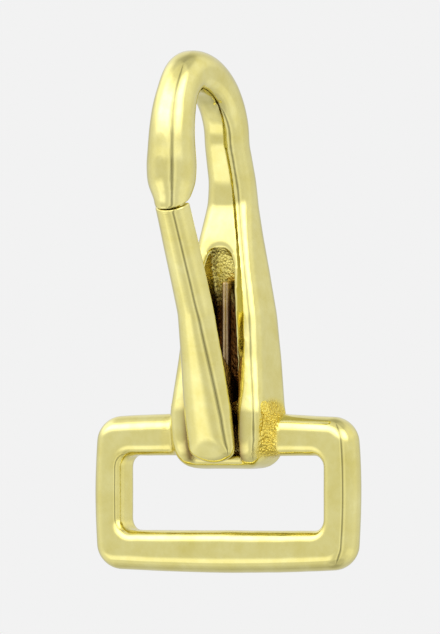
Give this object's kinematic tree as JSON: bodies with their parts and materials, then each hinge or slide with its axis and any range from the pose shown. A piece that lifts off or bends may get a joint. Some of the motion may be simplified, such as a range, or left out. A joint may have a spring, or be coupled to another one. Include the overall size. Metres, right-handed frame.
{
  "type": "halter snap",
  "caption": "Cast brass snap hook with a sprung tongue that closes a curved hook, on a shank that widens to a rectangular loop for a flat strap.",
  "frame": {"origin": "centre of the strap loop's opening, in the middle of the loop's depth", "axes": "+X along the strap's width, -Y towards the side that the hook opens to, +Z from the strap loop up to the hook"},
  "size_m": [0.0328, 0.0195, 0.0582],
  "materials": {
    "cast_brass": "cast, tumbled and polished, with rough casting skin in the pocket and the corners",
    "tongue_brass": "cast and polished",
    "pin_brass": "drawn, dressed flush",
    "spring_wire": "darkened spring wire"
  },
  "bodies": {
    "snap": {"snap_body": "cast_brass", "pivot_pin": "pin_brass", "tongue_spring": "spring_wire"},
    "tongue": {"tongue": "tongue_brass"}
  },
  "joints": [
    {"name": "tongue_hinge", "type": "hinge", "parent": "snap", "child": "tongue", "pos_m": [0, -0.0019, 0.0096], "axis": [-1, 0, 0], "range_deg": [0, 22], "stiffness_Nm_per_rad": 0.06, "springref_deg": -28.65, "deforming": ["tongue_spring"]}
  ]
}
